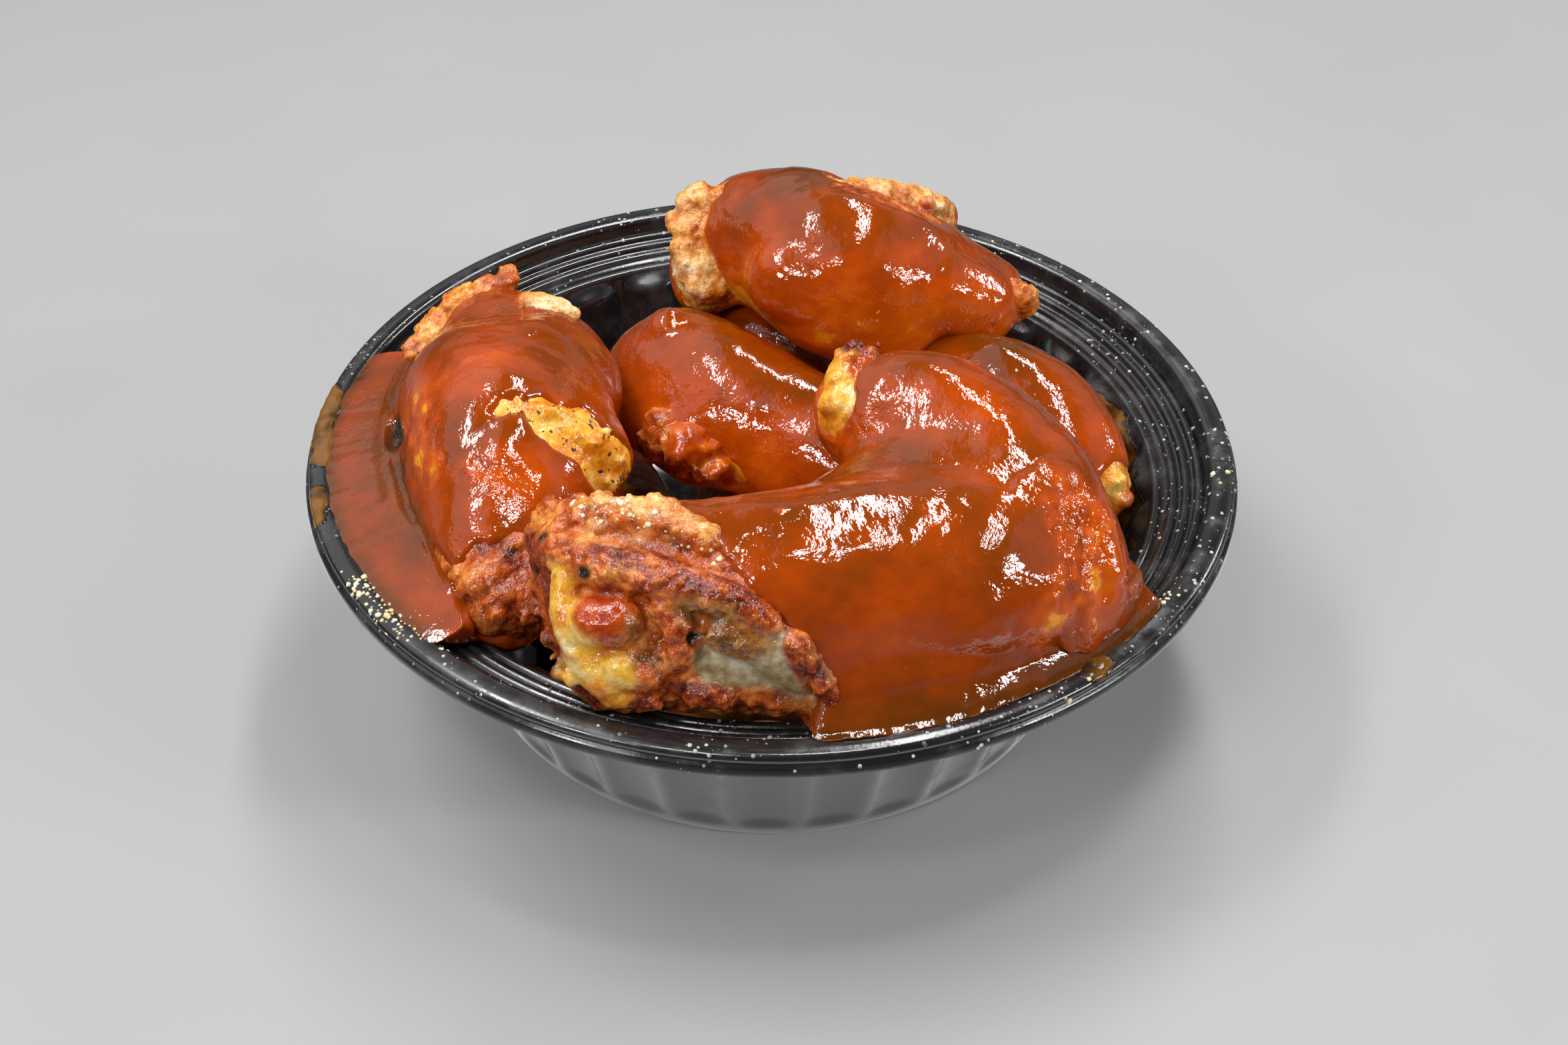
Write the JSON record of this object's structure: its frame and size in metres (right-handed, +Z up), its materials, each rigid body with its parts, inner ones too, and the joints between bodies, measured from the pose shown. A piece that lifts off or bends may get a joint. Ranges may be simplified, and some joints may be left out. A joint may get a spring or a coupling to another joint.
{
  "type": "chicken wings serving in a bowl",
  "caption": "Round black plastic takeaway bowl heaped with chicken wings under glossy barbecue sauce.",
  "frame": {"origin": "on the table under the middle of the bowl", "axes": "+Z up, -Y towards the front of the serving, +X to its right"},
  "size_m": [0.184, 0.184, 0.0855],
  "materials": {
    "bowl_plastic": "gloss black",
    "wing_skin": "sauced crisp skin",
    "sauce": "glossy barbecue sauce"
  },
  "bodies": {
    "root": {"bowl": "bowl_plastic", "wing_low_front": "wing_skin", "wing_low_left": "wing_skin", "wing_low_middle": "wing_skin", "wing_rear_low": "wing_skin", "wing_right": "wing_skin", "wing_middle": "wing_skin", "wing_left": "wing_skin", "wing_back": "wing_skin", "wing_front": "wing_skin", "sauce_right": "sauce", "sauce_left": "sauce"}
  },
  "joints": []
}
